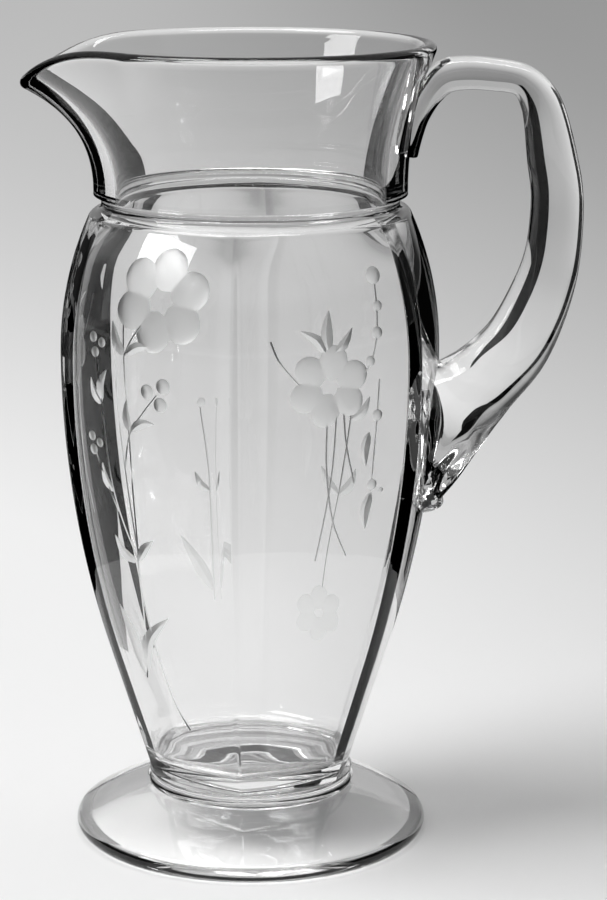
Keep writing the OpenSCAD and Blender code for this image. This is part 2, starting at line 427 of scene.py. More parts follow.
def inside_r(z, turn):
    """The inside follows the panels softly, and runs out into the round throat."""
    x = panel_x(z) - WALL
    share = max(0.0, min(1.0, (z - neck_z + RUN_OUT) / RUN_OUT))
    return mix(panel_r(x, turn), x + THROAT_PROUD, share * share * (3 - 2 * share))


def settle(level, rule):
    """Finds the level that a rule maps to itself."""
    for _ in range(SETTLING):
        level = rule(level)
    return level


def throat_z(turn):
    """Level where the inside meets the round throat."""
    return settle(neck_z, lambda z: neck_z - (inside_r(z, turn) - bore_r))


print(f"belly {belly_a:.1f} at {belly_z:.1f}, lower arc {lower_r:.0f}, upper arc {upper_r:.0f}")

# %% [markdown]
# ## The bowl
# A mould-blown bowl could be lofted from six-sided sections, but then the strips along the ridges
# would be ragged. Spinning the outline and pressing the panels in afterwards keeps whole columns of
# faces, and the columns can be gathered where the panel turns into the ridge, so that the thin
# lines of light along the ridges come out crisp.

# %% Bowl
PANEL_SHARE = 0.72
PANEL_GATHER = 1.5
STRIP_GATHER = 1.7
NARROWEST_STRIP = 0.8
OUTSIDE_STEPS = 60
INSIDE_STEPS = 50
FILLET_STEPS = 8
FLOOR_RINGS = 3
BASE_RINGS = 2
BASE_STEPS = 4
SHOULDER_STEPS = 8
FLANK_STEPS = 6


def ridge_turn(z):
    """Turn from the middle of a panel at which its ridge strip begins."""
    x = panel_x(z)
    share = ((x + SETBACK) ** 2 - SETBACK ** 2 - (x + RIDGE) ** 2) / (2 * SETBACK * (x + RIDGE))
    return min(math.degrees(math.acos(share)), PANEL / 2 - NARROWEST_STRIP)


def gathered(local, z):
    """Moves an even column towards the edges of the ridge strip."""
    share = abs(local) / (PANEL / 2)
    ridge = ridge_turn(z)
    if share < PANEL_SHARE:
        turn = ridge * (1 - (1 - share / PANEL_SHARE) ** PANEL_GATHER)
    else:
        rest = (share - PANEL_SHARE) / (1 - PANEL_SHARE)
        turn = ridge + (PANEL / 2 - ridge) * (1 - (1 - min(rest, 1)) ** STRIP_GATHER)
    return math.copysign(turn, local)


def bowl_point(station, turn):
    """The point of the bowl for a stretch of its outline and the share along that stretch."""
    stretch, share = station
    middle = round(turn / PANEL) * PANEL
    if stretch in ("groove", "bore"):
        return at(groove_r if stretch == "groove" else bore_r, neck_z, turn)
    low = floor_z + FILLET
    if stretch in ("base", "base_round"):
        local = gathered(turn - middle, bowl_z)
        edge = outside_r(bowl_z, local) - BASE_ROUND
        if stretch == "base":
            return at(share * edge, bowl_z, middle + local)
        a = math.radians(90 * share)
        return at(edge + BASE_ROUND * math.sin(a), bowl_z + BASE_ROUND * (1 - math.cos(a)), middle + local)
    if stretch == "outside":
        local = gathered(turn - middle, mix(bowl_z, neck_z, share))
        z = mix(bowl_z + BASE_ROUND, flank_z - SHOULDER_ROUND, share)
        return at(outside_r(z, local), z, middle + local)
    if stretch in ("shoulder", "flank"):
        local = gathered(turn - middle, neck_z)
        corner = Vector((outside_r(flank_z, local), flank_z))
        inner = corner - Vector((SHOULDER_IN, 0))
        if stretch == "flank":
            a = math.radians(90 * share)
            return at(inner.x - (inner.x - groove_r) * math.sin(a), neck_z - GROOVE_H * math.cos(a),
                      middle + local)
        below = Vector((outside_r(flank_z - SHOULDER_ROUND, local), flank_z - SHOULDER_ROUND))
        point = (1 - share) ** 2 * below + 2 * share * (1 - share) * corner + share ** 2 * inner
        return at(point.x, point.y, middle + local)
    if stretch == "inside":
        local = gathered(turn - middle, mix(neck_z, low, share))
        z = mix(throat_z(local), low, share)
        return at(inside_r(z, local), z, middle + local)
    local = gathered(turn - middle, low)
    corner = inside_r(low, local) - FILLET
    if stretch == "floor":
        return at(corner * (1 - share), floor_z, middle + local)
    a = math.radians(90 * share)
    return at(corner + FILLET * math.cos(a), low - FILLET * math.sin(a), middle + local)


bowl_stations = [("base", i / BASE_RINGS) for i in range(BASE_RINGS + 1)]
bowl_stations += [("base_round", i / BASE_STEPS) for i in range(1, BASE_STEPS)]
bowl_stations += [("outside", i / OUTSIDE_STEPS) for i in range(OUTSIDE_STEPS + 1)]
bowl_stations += [("shoulder", i / SHOULDER_STEPS) for i in range(1, SHOULDER_STEPS + 1)]
bowl_stations += [("flank", i / FLANK_STEPS) for i in range(1, FLANK_STEPS)]
bowl_stations += [("groove", 0), ("bore", 0)]
bowl_stations += [("inside", i / INSIDE_STEPS) for i in range(INSIDE_STEPS + 1)]
bowl_stations += [("fillet", i / FILLET_STEPS) for i in range(1, FILLET_STEPS + 1)]
bowl_stations += [("floor", i / FLOOR_RINGS) for i in range(1, FLOOR_RINGS + 1)]
bowl_mesh = spun(bowl_stations, bowl_point)
mark_joint(bowl_mesh, bowl_z, foot_r)
mark_joint(bowl_mesh, neck_z, foot_r)
bowl = new_object(bowl_mesh, "bowl_glass")
print("bowl faces:", len(bowl.data.polygons))

# %% [markdown]
# ## The wafer
# A wafer of glass is pressed between foot and bowl, and its edge is rolled to a shallow hollow. Its
# top face repeats the outline of the bowl's base, so that the two joint faces are one and the same.

# %% Wafer
WAFER_WAIST = 0.8
WAIST_STEPS = 10
ROUND_STEPS = 4

wafer_h = bowl_z - foot_h
waist_r = (wafer_h ** 2 / 4 + WAFER_WAIST ** 2) / (2 * WAFER_WAIST)
waist_half = math.degrees(math.asin((wafer_h / 2 - WAFER_ROUND) / waist_r))
wafer_middle = foot_h + wafer_h / 2


def wafer_point(station, turn):
    if station == "bowl_base":
        return bowl_point(("base", 1), turn)
    return turned(station, turn)


wafer_outline = [(0, bowl_z), "bowl_base"]
wafer_outline += arc((wafer_r - WAFER_ROUND, bowl_z - WAFER_ROUND), WAFER_ROUND, 90, 0, ROUND_STEPS)
wafer_outline += arc((wafer_r - WAFER_WAIST + waist_r, wafer_middle), waist_r,
                     180 - waist_half, 180 + waist_half, WAIST_STEPS)[1:-1]
wafer_outline += arc((wafer_r - WAFER_ROUND, foot_h + WAFER_ROUND), WAFER_ROUND, 0, -90, ROUND_STEPS)
wafer_outline += [(0, foot_h)]
wafer_mesh = spun(wafer_outline, wafer_point)
mark_joint(wafer_mesh, foot_h, foot_r)
for face in wafer_mesh.faces:
    if any(vert.co.xy.length < FLAT for vert in face.verts):
        face.material_index = JOINT
wafer = new_object(wafer_mesh, "wafer_glass")
finish_piece(wafer, "wafer")

# %% [markdown]
# ## The collar and its lip
# The collar flares from the neck to a thick fire-rounded rim. While it was soft, a tool drew one
# side out and down into a pouring lip. The pull is strongest at the tip and fades to nothing on each
# side, and it grows with the height, so one formula moves the wall and keeps its thickness.

# %% Collar
COLLAR_R = 46.0
RIM_T = 3.8
LIP_DROP = 10.5
LIP_ANGLE = 52.0
LIP_CURVE = 2.1
DROP_CURVE = 2.0
DROP_FOCUS = 2.0
COLLAR_STEPS = 40
RIM_STEPS = 14

lip_reach = -corners("collar")[0].x - rim_r
collar_z = neck_z + GROOVE_H
flare_h = rim_z - RIM_T / 2 - collar_z
collar_t = COLLAR_R - bore_r
collar_mid = COLLAR_R - collar_t / 2
rim_mid = rim_r - RIM_T / 2


def pull(turn):
    """How much of the lip's pull reaches a turn. The tip lies opposite the handle."""
    off = abs((turn % 360) - 180)
    return math.cos(math.radians(90 * off / LIP_ANGLE)) ** 2 if off < LIP_ANGLE else 0.0


def wall_point(u, p, side):
    """A point of the wall at a share of the height: side 0 is outside, 90 the rim, 180 inside."""
    dip = LIP_DROP * p ** DROP_FOCUS
    radius = collar_mid + (rim_mid - collar_mid) * u * u + p * lip_reach * u ** LIP_CURVE
    height = collar_z + flare_h * u - dip * u ** DROP_CURVE
    out = 2 * (rim_mid - collar_mid) * u + p * lip_reach * LIP_CURVE * u ** (LIP_CURVE - 1)
    up = flare_h - dip * DROP_CURVE * u ** (DROP_CURVE - 1)
    length = math.hypot(out, up)
    half = mix(collar_t, RIM_T, u) / 2
    a = math.radians(side)
    across, along = half * math.cos(a) / length, half * math.sin(a) / length
    return radius + across * up + along * out, height - across * out + along * up


def collar_point(station, turn):
    if station in ("groove", "bore"):
        return at(groove_r if station == "groove" else bore_r, neck_z, turn)
    if station[0] == "flank":
        a = math.radians(90 * station[1])
        return at(COLLAR_R - (COLLAR_R - groove_r) * math.cos(a), neck_z + GROOVE_H * math.sin(a), turn)
    return turned(wall_point(station[0], pull(turn), station[1]), turn)


collar_stations = ["groove"] + [("flank", i / FLANK_STEPS) for i in range(1, FLANK_STEPS)]
collar_stations += [(i / COLLAR_STEPS, 0) for i in range(COLLAR_STEPS + 1)]
collar_stations += [(1, 180 * i / RIM_STEPS) for i in range(1, RIM_STEPS)]
collar_stations += [(i / COLLAR_STEPS, 180) for i in range(COLLAR_STEPS, -1, -1)]
collar_stations += ["bore"]
collar_mesh = spun(collar_stations, collar_point, closed=True)
mark_joint(collar_mesh, neck_z, foot_r)
collar = new_object(collar_mesh, "collar_glass")
print("collar faces:", len(collar.data.polygons))

# %% [markdown]
# ## The handle
# A rod of hot glass is dropped on the bowl, drawn up and over, and its tail is pressed on the collar.
# Sections bridged along a list of stations follow that gather: each station says how far out and how
# high it lies, how thick and wide the rod is there, and how square its inner and its outer half are.
# A square of 2 is round, and more is flatter.

# %% Handle
HANDLE = [
    (45.8, 206.6, 6.0, 13.0, 3.0, 3.0), (46.7, 211.9, 6.7, 13.0, 3.0, 3.0),
    (48.4, 218.4, 7.7, 13.0, 3.0, 3.0), (51.9, 224.8, 8.6, 13.0, 3.2, 3.2),
    (56.5, 229.3, 9.6, 13.1, 3.8, 3.8), (63.2, 230.4, 9.3, 13.0, 4.4, 4.4),
    (71.0, 229.9, 9.0, 13.0, 4.4, 4.4), (76.9, 229.0, 8.8, 13.1, 4.0, 4.2),
    (80.4, 227.0, 9.6, 13.3, 3.2, 4.4), (83.3, 222.9, 11.2, 13.5, 2.8, 4.6),
    (85.3, 217.4, 12.6, 13.9, 2.6, 4.8), (87.4, 206.6, 14.4, 14.8, 2.6, 4.8),
    (89.2, 194.5, 15.2, 15.5, 2.6, 4.8), (88.3, 178.3, 16.2, 15.5, 2.6, 4.6),
    (84.6, 164.8, 18.2, 15.8, 2.6, 4.2), (77.9, 150.8, 20.4, 17.9, 2.6, 3.4),
    (68.0, 139.8, 23.2, 22.5, 2.5, 2.8), (58.8, 131.9, 32.1, 28.0, 2.4, 2.4),
    (50.5, 129.0, 55.5, 33.0, 2.4, 2.4), (44.0, 128.0, 56.0, 35.0, 2.4, 2.4)]
ROD_STEPS = 10
ROD_SIDES = 96


def smooth_run(points, steps):
    """A smooth curve through the points, each a tuple of sizes."""
    stops = [Vector(p) for p in points]
    run = []
    for i in range(len(stops) - 1):
        a, b, c, d = (stops[max(0, min(len(stops) - 1, i + k))] for k in (-1, 0, 1, 2))
        for k in range(steps):
            t = k / steps
            run.append((2 * b + (c - a) * t + (2 * a - 5 * b + 4 * c - d) * t ** 2
                        + (3 * b - a - 3 * c + d) * t ** 3) / 2)
    return run + [stops[-1]]


def lofted(bm, rings):
    """Bridges closed rings of points into a tube, and closes both ends."""
    loops = []
    for points in rings:
        ring = bmesh.ops.create_circle(bm, segments=len(points), radius=1)["verts"]
        for vert, point in zip(ring, points):
            vert.co = point
        loops.append(list({edge for vert in ring for edge in vert.link_edges}))
    for one, other in zip(loops, loops[1:]):
        bmesh.ops.bridge_loops(bm, edges=one + other)
    bmesh.ops.holes_fill(bm, edges=loops[0] + loops[-1], sides=0)


def rod_ring(run, k):
    """The section of the rod at one step of its run."""
    x, z, thick, wide, inner, outer = run[k]
    ahead = run[min(len(run) - 1, k + 1)] - run[max(0, k - 1)]
    length = math.hypot(ahead[0], ahead[1])
    points = []
    for j in range(ROD_SIDES):
        a = math.tau * j / ROD_SIDES
        c, s = math.cos(a), math.sin(a)
        square = mix(inner, outer, (1 + c) / 2)
        n = thick / 2 * math.copysign(abs(c) ** (2 / square), c)
        y = wide / 2 * math.copysign(abs(s) ** (2 / square), s)
        points.append((x - ahead[1] / length * n, y, z + ahead[0] / length * n))
    return points


rod_run = smooth_run(HANDLE, ROD_STEPS)
rod_mesh = bmesh.new()
lofted(rod_mesh, [rod_ring(rod_run, k) for k in range(len(rod_run))])
bmesh.ops.recalc_face_normals(rod_mesh, faces=rod_mesh.faces)

# %% [markdown]
# ## Tool marks on the pad
# The gather was pinched and pulled while it was soft. It has a thumb-sized dent under the outside of
# the rod, a hollow above where the rod leaves the bowl, a third dent low on the pad, and a fan of
# flutes that run together at the lower tip. Each mark moves the vertices a little way in along their
# normals.

# %% Tool marks
FAN_TIP = Vector((50.5, 99.5))
FAN_REACH = 30.0
FLUTE_TURN = 22.0
FLUTE_DEPTH = 1.4
DENTS = [((70.0, 10.0, 125.0), 6.0, 1.3),
         ((60.0, 9.0, 147.0), 4.2, 1.2),
         ((56.5, 12.0, 116.0), 5.0, 1.4)]


def pressed_in(point):
    """How far the tools pressed the glass in at a point of the rod, the same on both flanks."""
    flank = Vector((point.x, abs(point.y), point.z))
    depth = sum(deep * math.exp(-((flank - Vector(spot)).length / size) ** 2) for spot, size, deep in DENTS)
    away = point.xz - FAN_TIP
    share = away.length / FAN_REACH
    if share < 1:
        turn = math.degrees(math.atan2(away.x, away.y))
        depth += FLUTE_DEPTH * math.sin(math.pi * share) * math.sin(math.pi * turn / FLUTE_TURN) ** 2
    return depth


rod_mesh.normal_update()
moves = [(vert, vert.normal * pressed_in(vert.co)) for vert in rod_mesh.verts]
for vert, move in moves:
    vert.co -= move
handle = new_object(rod_mesh, "handle_glass")
print("rod rings:", len(rod_run))

# %% [markdown]
# ## Seating the handle
# The rod was built a little too long at both ends. Cutting it back with the plain outside of the bowl
# and of the collar leaves its seats, and cutting the seated handle out of the bowl and the collar
# leaves matching recesses a fiftieth of a millimetre deep. All those faces are joints.

# %% Handle seats
SINK = 0.02


def outside_block(stations, place, low, high):
    """A solid block with the outside of a piece, drawn in by the sink of the seat, and two end levels."""
    ends = {"low": low, "high": high}

    def sunk(station, turn):
        if station in ends:
            return Vector((0, 0, ends[station]))
        point = place(station, turn)
        radius = point.xy.length
        return at(radius - SINK, point.z, math.degrees(math.atan2(point.y, point.x)))

    bm = spun(["low"] + stations + ["high"], sunk)
    for face in bm.faces:
        face.material_index = JOINT
    return new_object(bm, "seat_block")


bowl_skin = [station for station in bowl_stations if station[0] == "outside"]
collar_skin = collar_stations[FLANK_STEPS:FLANK_STEPS + COLLAR_STEPS + 1]
cut_away(handle, outside_block(bowl_skin, bowl_point, bowl_z + BASE_ROUND, flank_z))
cut_away(handle, outside_block(collar_skin, collar_point, collar_z, rim_z - RIM_T))


def seat_print(piece):
    """A copy of the handle whose every face is a joint, to cut its seat with."""
    mesh = handle.data.copy()
    for face in mesh.polygons:
        face.material_index = JOINT
    copy = bpy.data.objects.new("seat_print", mesh)
    bpy.context.scene.collection.objects.link(copy)
    cut_away(piece, copy)


seat_print(bowl)
seat_print(collar)
finish_piece(collar, "collar")
finish_piece(handle, "handle")

# %% [markdown]
# ## The cutter's wheels
# Two kinds of wheel made the flowers. A round-edged stone leaves shallow scoops, which are petals and
# berries, and a mitre wheel leaves V-shaped cuts: short fat ones for leaves and long thin ones for
# stems. A bump map could fake them, but real hollows bend the light that passes and catch it on their
# edges. So each cut is a small solid, made flat in the panel's own measures (across, up and out) and
# then bent on to the panel.

# %% Scoops and mitre cuts
SCOOP_RISE = 0.7
SCOOP_SHARE = math.sqrt(1 - SCOOP_RISE ** 2)
SCOOP_SIDES = 28
SCOOP_RINGS = 18
HEADROOM = 0.4
MITRE_STEP = 1.6
LEAF_TIP = 0.08
LEAF_SWELL = 0.8


def on_panel(panel, across, up, out):
    """A point in the own measures of a panel, which is named by the turn of its middle."""
    reach = panel_x(up) + SETBACK
    return at(reach + out, up, panel + math.degrees(across / reach)) - at(SETBACK, 0, panel)


def scoop(bm, panel, spot, half, turn=0.0, depth=0.5, lean=0.0):
    """A shallow oval hollow, half[0] long and half[1] wide on each side, deeper towards its turn."""
    a = math.radians(turn)
    ball = bmesh.ops.create_uvsphere(bm, u_segments=SCOOP_SIDES, v_segments=SCOOP_RINGS, radius=1)["verts"]
    for vert in ball:
        along = vert.co.x * half[0] / SCOOP_SHARE
        aside = vert.co.y * half[1] / SCOOP_SHARE
        out = (vert.co.z + SCOOP_RISE) * depth / (1 - SCOOP_RISE) - lean * along
        across = spot[0] + along * math.cos(a) - aside * math.sin(a)
        up = spot[1] + along * math.sin(a) + aside * math.cos(a)
        vert.co = on_panel(panel, across, up, out)


def mitre_cut(bm, panel, route, half, depth, pointed):
    """A V-shaped cut along a route. A pointed one swells in its middle, as a leaf does."""
    length = sum((Vector(b) - Vector(a)).length for a, b in zip(route, route[1:]))
    run = smooth_run(route, max(3, round(length / MITRE_STEP / (len(route) - 1))))
    rings = []
    for k, spot in enumerate(run):
        ahead = (run[min(len(run) - 1, k + 1)] - run[max(0, k - 1)]).normalized()
        share = k / (len(run) - 1)
        swell = max(LEAF_TIP, math.sin(math.pi * share ** LEAF_SWELL)) if pointed else 1.0
        wide = half * swell * (1 + HEADROOM / (depth * swell))
        section = [(-wide, HEADROOM), (0, -depth * swell), (wide, HEADROOM), (0, 2 * HEADROOM)]
        rings.append([on_panel(panel, spot[0] - ahead[1] * side, spot[1] + ahead[0] * side, out)
                      for side, out in section])
    lofted(bm, rings)


print(f"a scoop shows {SCOOP_SHARE:.2f} of its ball")

# %% [markdown]
# ## Four sprays of flowers
# The ornament is the common one of such glass: a six-petalled flower, berries in threes or in a chain,
# and leaves in pairs on thin stems. Four sprays go round the bowl, one of them twice, and the panel
# under the handle stays plain. Each list below is one kind of cut, and each entry gives its place on
# the panel in millimetres, across and above the table.

# %% Four sprays
PETALS = 6
FLOWER_TURN = 0.35
FLOWER_STRETCH = 1.12
PETAL_OUT = 0.72
PETAL_LONG = 0.7
PETAL_WIDE = 0.6
PETAL_DEPTH = 0.27
PETAL_LEAN = 0.05
BERRY_DEPTH = 0.12
LEAF_SLIM = 0.16
LEAF_WIDEST = 2.1
LEAF_DEPTH = 0.48
STEM_HALF = 0.28

TALL_SPRAY = {
    "stem_depth": 0.3,
    "flowers": [(7.4, 170.8, 8.8)],
    "berries": [(4.4, 145.2, 2.2), (9.8, 147.2, 2.3), (8.8, 141.8, 2.2),
                (-16.2, 158.4, 1.6), (-12.6, 157.2, 1.5), (-15.2, 154.2, 1.6),
                (-17.4, 129.4, 1.5), (-14.2, 127.8, 1.4), (-17.0, 125.4, 1.6)],
    "leaves": [((-3.8, 154.6), (-6.9, 158.2), (-8.8, 164.0)), ((-3.6, 154.8), (0.6, 157.4), (5.6, 157.8)),
               ((-2.2, 132.6), (-3.3, 136.8), (-3.2, 141.6)), ((-2.0, 132.8), (1.8, 135.6), (6.6, 136.0)),
               ((-12.6, 140.0), (-13.2, 145.0), (-10.6, 149.6)),
               ((-12.6, 139.4), (-15.6, 142.0), (-17.0, 146.6)),
               ((-9.8, 113.8), (-12.8, 117.0), (-13.6, 122.0)),
               ((-3.4, 93.4), (-8.4, 95.4), (-11.2, 100.4)),
               ((-3.2, 93.6), (-0.6, 97.6), (3.2, 101.0)), ((-8.6, 56.0), (-10.2, 67.0), (-13.8, 78.0)),
               ((-8.2, 56.4), (-4.6, 68.0), (4.6, 77.0))],
    "stems": [((-4.6, 163.2), (-3.6, 150.0), (-2.4, 131.0), (-2.6, 101.0),
               (-3.4, 93.0), (-4.6, 74.0), (-8.4, 55.0)),
              ((-7.4, 157.6), (-6.4, 140.0), (-4.4, 118.0), (-2.8, 96.0)),
              ((7.6, 144.4), (2.6, 138.6), (-2.2, 132.0), (-4.6, 122.0)),
              ((1.6, 163.6), (-1.6, 159.0), (-3.7, 154.6)),
              ((-14.6, 153.0), (-12.8, 140.0), (-9.8, 114.0), (-3.6, 95.0)),
              ((-16.0, 124.6), (-12.6, 116.6), (-8.6, 108.0)),
              ((-3.8, 86.0), (-2.2, 66.0), (0.4, 49.0), (4.0, 40.0))]}
CHAIN_SPRAY = {
    "stem_depth": 0.16,
    "flowers": [(-0.6, 147.4, 7.2)],
    "berries": [(15.2, 177.0, 2.5), (15.7, 168.6, 1.6), (15.0, 161.2, 1.8), (12.4, 153.4, 1.6),
                (15.0, 137.6, 1.8), (14.2, 117.2, 1.7), (17.4, 115.2, 0.9)],
    "leaves": [((-1.6, 156.6), (-4.2, 160.6), (-9.0, 163.4)), ((-0.8, 157.0), (-1.2, 162.6), (-0.2, 168.6)),
               ((0.6, 156.4), (4.0, 159.0), (6.8, 163.4)), ((12.4, 133.0), (11.2, 128.0), (11.8, 123.0)),
               ((13.9, 115.0), (12.4, 109.6), (12.8, 104.0))],
    "stems": [((-1.2, 139.4), (-1.0, 124.0), (1.8, 108.0), (7.0, 96.6)),
              ((1.6, 139.4), (0.6, 120.0), (-2.6, 96.0)),
              ((3.8, 140.4), (5.0, 130.0), (8.0, 118.6)),
              ((15.4, 174.6), (15.4, 166.0), (14.4, 158.0), (12.0, 152.0), (6.8, 147.0)),
              ((15.6, 148.0), (15.0, 137.0), (14.4, 126.0), (14.0, 114.0)),
              ((-7.0, 145.6), (-11.0, 149.6), (-15.6, 155.4), (-17.8, 161.0))]}
LOW_SPRAY = {
    "stem_depth": 0.12,
    "flowers": [(2.2, 57.4, 5.2)],
    "berries": [],
    "leaves": [((1.0, 94.0), (-3.0, 97.6), (-4.8, 103.0)), ((1.2, 94.2), (5.2, 97.0), (8.6, 102.0)),
               ((-1.4, 118.0), (-5.6, 120.6), (-8.4, 126.0)), ((-1.2, 118.2), (2.6, 121.8), (4.4, 127.0))],
    "stems": [((2.2, 63.4), (2.4, 78.0), (1.0, 94.0), (-1.2, 118.0), (-2.2, 130.0))]}
BUD_SPRAY = {
    "stem_depth": 0.1,
    "flowers": [],
    "berries": [(-6.0, 121.4, 1.5)],
    "leaves": [((-7.4, 93.4), (-4.4, 95.6), (-2.6, 99.8)), ((-5.4, 63.0), (-1.4, 71.0), (4.2, 80.6))],
    "stems": [((-5.6, 120.0), (-7.0, 106.0), (-7.4, 95.0), (-6.6, 76.0), (-5.4, 60.0))]}
CUT_PANELS = [(-120, TALL_SPRAY), (-60, CHAIN_SPRAY), (60, LOW_SPRAY), (120, BUD_SPRAY), (180, CHAIN_SPRAY)]

# %% [markdown]
# ## Cutting the bowl
# A cut that overlaps its neighbour must come after it, as it does at the wheel. So the cutting shapes
# are sorted into rounds whose shapes stay clear of each other, and each round is taken out of the bowl
# in one go.

# %% Cut the flowers
rounds = {}


def in_round(kind, number):
    """The mesh that gathers the cutting shapes of one round."""
    return rounds.setdefault((kind, number), bmesh.new())


for panel, spray in CUT_PANELS:
    for x, z, size in spray["flowers"]:
        for k in range(PETALS):
            turn = 360 * (k + FLOWER_TURN) / PETALS
            spot = at(PETAL_OUT * size, 0, turn)
            scoop(in_round("petal", k % 2), panel, (x + FLOWER_STRETCH * spot.x, z + spot.y),
                  (size * PETAL_LONG, size * PETAL_WIDE), turn, depth=PETAL_DEPTH, lean=PETAL_LEAN)
    for k, (x, z, size) in enumerate(spray["berries"]):
        scoop(in_round("berry", k % 3), panel, (x, z), (size, size), depth=BERRY_DEPTH * size)
    for k, route in enumerate(spray["leaves"]):
        half = min(LEAF_WIDEST, LEAF_SLIM * math.dist(route[0], route[-1]))
        mitre_cut(in_round("leaf", k % 2), panel, route, half, LEAF_DEPTH, True)
    for k, route in enumerate(spray["stems"]):
        mitre_cut(in_round("stem", k), panel, route, STEM_HALF, spray["stem_depth"], False)
for (kind, number), bm in sorted(rounds.items()):
    bmesh.ops.recalc_face_normals(bm, faces=bm.faces)
    for face in bm.faces:
        face.material_index = SATIN
    cut_away(bowl, new_object(bm, f"{kind}_{number}"))
finish_piece(bowl, "bowl")
print("rounds:", len(rounds))

# %% [markdown]
# ## The skin beside the cuts
# The renderer smooths the bowl's skin by averaging its faces at every corner. Along a cut half of
# those faces are gone, so the skin there is given the true slope of the panel instead, and the glass
# beside the flowers stays as even as the rest.

# %% Skin beside the cuts
SLOPE_STEP = 0.1


def panel_normal(point):
    """The way that a panel faces at one of its points."""
    middle = round(math.degrees(math.atan2(point.y, point.x)) / PANEL) * PANEL
    outward = point + at(SETBACK, 0, middle)
    outward.z = 0
    slope = (panel_x(point.z + SLOPE_STEP) - panel_x(point.z - SLOPE_STEP)) / (2 * SLOPE_STEP)
    return (outward.normalized() - Vector((0, 0, slope))).normalized()


skin = bowl.data
cut_corners = {v for face in skin.polygons if face.material_index == SATIN for v in face.vertices}
normals = [corner.vector.copy() for corner in skin.corner_normals]
for face in skin.polygons:
    for corner, vertex in zip(face.loop_indices, face.vertices):
        if face.material_index == GLASS and vertex in cut_corners:
            normals[corner] = panel_normal(skin.vertices[vertex].co / MM)
skin.normals_split_custom_set(normals)
print("corners beside cuts:", len(cut_corners))

# %% [markdown]
# ## The camera
# The camera stands a little to the right of the front and looks down by thirteen degrees, from about
# 85 centimetres away. Its focal length is written in pixels of the picture, because that is how it is
# read from a photograph, and a small sideways shift frames the handle.

# %% Camera
FRAME_W, FRAME_H = 607, 900
FOCAL_PX = 2834.0
AXIS_PX = 250.7
CAMERA_TURN = math.radians(6.0)
CAMERA_TILT = math.radians(13.06)
CAMERA_REACH = 0.825
CAMERA_H = 0.3088

camera_data = bpy.data.cameras.new("camera")
camera_data.sensor_width = 36.0
camera_data.lens = camera_data.sensor_width * FOCAL_PX / FRAME_H
camera_data.shift_x = (FRAME_W / 2 - AXIS_PX) / FRAME_H
camera = bpy.data.objects.new("camera", camera_data)
camera.location = Matrix.Rotation(CAMERA_TURN, 3, "Z") @ Vector((0, -CAMERA_REACH, CAMERA_H))
camera.rotation_euler = (math.pi / 2 - CAMERA_TILT, 0, CAMERA_TURN)
bpy.context.scene.collection.objects.link(camera)
bpy.context.scene.camera = camera
bpy.context.scene.view_settings.view_transform = "Standard"
print(f"lens {camera_data.lens:.1f} mm")

# %% [markdown]
# ## The paper
# The pitcher stands on pale paper that runs far back. The paper is nearly white at the front and mid
# grey behind, and paler on the left, where the window is. That fall of light is painted into the
# paper's colour by a formula of the distance and one of the place from left to right, and the glass
# then shows it as well. The foot throws no shadow here, so the paper under it carries a painted shadow,
# a darker tone. For light that comes through glass, the far end of the paper is painted a little
# darker, as it is behind a real pitcher.

# %% Paper
# Painted light: these tones paint the fall of light, and a shadow under the foot, into the paper's colour.
NEAR_TONE = 0.84
FAR_TONE = 0.43
NEAR_REACH = 0.75
PALEST = 0.86
SIDE_SPAN = (-0.30, 0.42)
SIDE_TONES = (1.22, 0.78)
UNDER_FOOT = (0.050, 0.054)
PAINTED_FOOT_SHADOW_TONE = 0.61
FAR_SPAN = (1.2, 1.8)
FAR_THROUGH_GLASS = 0.78
TO_THE_RIGHT = (math.cos(CAMERA_TURN), math.sin(CAMERA_TURN), 0.0)
PAPER_R = 9.0
ROUND_SIDES = 96


def make_paper():
    """Matt seamless paper, painted paler in front and on the left as the light falls, with a painted shadow
    under the foot.
    """
    material, tree = new_material("pale_seamless_paper")
    place = add_node(tree, "ShaderNodeTexCoord").outputs["Object"]
    squared = dot(tree, place, place)
    # Painted fall of light: paler near the pitcher and on the left.
    spread = calculated(tree, "MULTIPLY_ADD", squared, NEAR_REACH ** -2, 1.0)
    near = calculated(tree, "DIVIDE", NEAR_TONE - FAR_TONE, spread)
    tone = calculated(tree, "ADD", near, FAR_TONE)
    side = mapped(tree, dot(tree, place, TO_THE_RIGHT), SIDE_SPAN, SIDE_TONES, "SMOOTHSTEP")
    grey = calculated(tree, "MULTIPLY", tone, side)
    limit = calculated(tree, "MINIMUM", grey, PALEST)
    # Painted shadow: the paper under the foot is darker.
    painted_foot_shadow = mapped(tree, squared, [reach ** 2 for reach in UNDER_FOOT], (PAINTED_FOOT_SHADOW_TONE, 1.0))
    shaded = calculated(tree, "MULTIPLY", limit, painted_foot_shadow)
    # Painted darkening: the far paper, as glass sees it, is darker.
    far_off = mapped(tree, squared, [reach ** 2 for reach in FAR_SPAN],
                     (1.0, FAR_THROUGH_GLASS), "SMOOTHSTEP")
    dimmed = calculated(tree, "MULTIPLY", shaded, far_off)
    by_glass = add_node(tree, "ShaderNodeLightPath").outputs["Is Transmission Ray"]
    seen = mapped(tree, by_glass, (0.0, 1.0), (shaded, dimmed))
    paper = add_node(tree, "ShaderNodeBsdfPrincipled",
                     {"Base Color": seen, "Roughness": 1.0, "Specular IOR Level": 0.0})
    add_node(tree, "ShaderNodeOutputMaterial", {"Surface": paper.outputs["BSDF"]})
    return material


def stage_sheet(bm, name, material):
    """Makes a flat thing of the stage, which is no part of the pitcher."""
    data = bpy.data.meshes.new(name)
    bm.to_mesh(data)
    bm.free()
    data.materials.append(material)
    sheet = bpy.data.objects.new(name, data)
    bpy.context.scene.collection.objects.link(sheet)
    return sheet


paper_mesh = bmesh.new()
bmesh.ops.create_circle(paper_mesh, cap_ends=True, segments=ROUND_SIDES, radius=PAPER_R)
floor = stage_sheet(paper_mesh, "floor", make_paper())
print("floor", floor.dimensions[:2])

